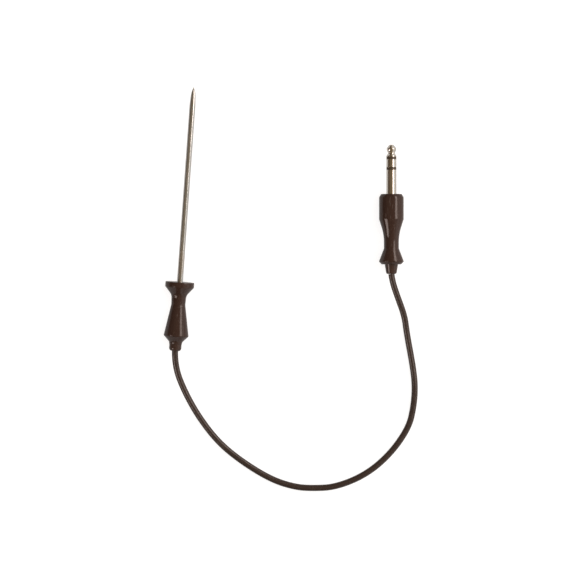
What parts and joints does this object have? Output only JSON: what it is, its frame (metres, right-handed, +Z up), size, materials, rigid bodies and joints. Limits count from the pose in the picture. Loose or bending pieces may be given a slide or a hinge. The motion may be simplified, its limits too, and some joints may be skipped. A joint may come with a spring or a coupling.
{
  "type": "food temperature probe",
  "caption": "Steel spike with a sensor in its point and a moulded handle, on a short round lead that ends in a quarter-inch three-contact plug.",
  "frame": {"origin": "on the resting surface, under the middle of the spike and its handle; the cord and plug are left out of that middle", "axes": "+Z up from the resting surface; +Y along the spike in plan, towards its point; +X towards the plug"},
  "size_m": [0.1661, 0.2515, 0.0185],
  "materials": {
    "spike_steel": "polished stainless steel",
    "handle_brown": "glossy moulded, very dark brown",
    "bush_brown": "glossy moulded, very dark brown",
    "cord_brown": "smooth, half gloss, dark brown",
    "plug_nickel": "bright nickel plate",
    "band_dark": "dark insulating band",
    "brass": "turned or pressed brass",
    "copper": "drawn copper wire",
    "braid": "tinned copper weave",
    "sleeve_white": "white insulating sleeve",
    "core_red": "red core insulation",
    "core_white": "white core insulation",
    "bead_glass": "glass sensor bead",
    "filler": "pale heat-carrying filler",
    "resin": "cast resin",
    "fibre": "pressed fibre washer",
    "inner_plastic": "unpainted inner moulding"
  },
  "bodies": {
    "root": {"probe_tube": "spike_steel", "probe_point": "spike_steel", "thermistor_bead": "bead_glass", "heat_filler": "filler", "tube_anchor": "brass", "probe_shield": "braid", "shield_ring": "brass", "probe_cord_jacket": "cord_brown", "probe_cord_bush": "bush_brown", "probe_handle": "handle_brown", "sensor_lead_a": "copper", "sensor_lead_b": "copper", "lead_sleeve_a": "sleeve_white", "lead_sleeve_b": "sleeve_white", "splice_a": "brass", "splice_b": "brass", "splice_sleeve_a": "sleeve_white", "splice_sleeve_b": "sleeve_white", "probe_conductor_a": "copper", "probe_conductor_b": "copper", "probe_core_a": "core_red", "probe_core_b": "core_white", "anchor_potting": "resin", "cord": "cord_brown", "plug_tip": "plug_nickel", "tip_rod": "brass", "tip_insulator": "band_dark", "plug_ring": "plug_nickel", "ring_insulator": "band_dark", "plug_sleeve": "plug_nickel", "sleeve_terminal": "brass", "ring_washer": "fibre", "ring_terminal": "brass", "tip_washer": "fibre", "tip_terminal": "brass", "plug_shield": "braid", "plug_cord_jacket": "cord_brown", "plug_cord_bush": "bush_brown", "plug_handle": "handle_brown", "plug_conductor_a": "copper", "plug_core_a": "core_red", "plug_conductor_b": "copper", "plug_core_b": "core_white", "plug_inner_mould": "inner_plastic"}
  },
  "joints": []
}
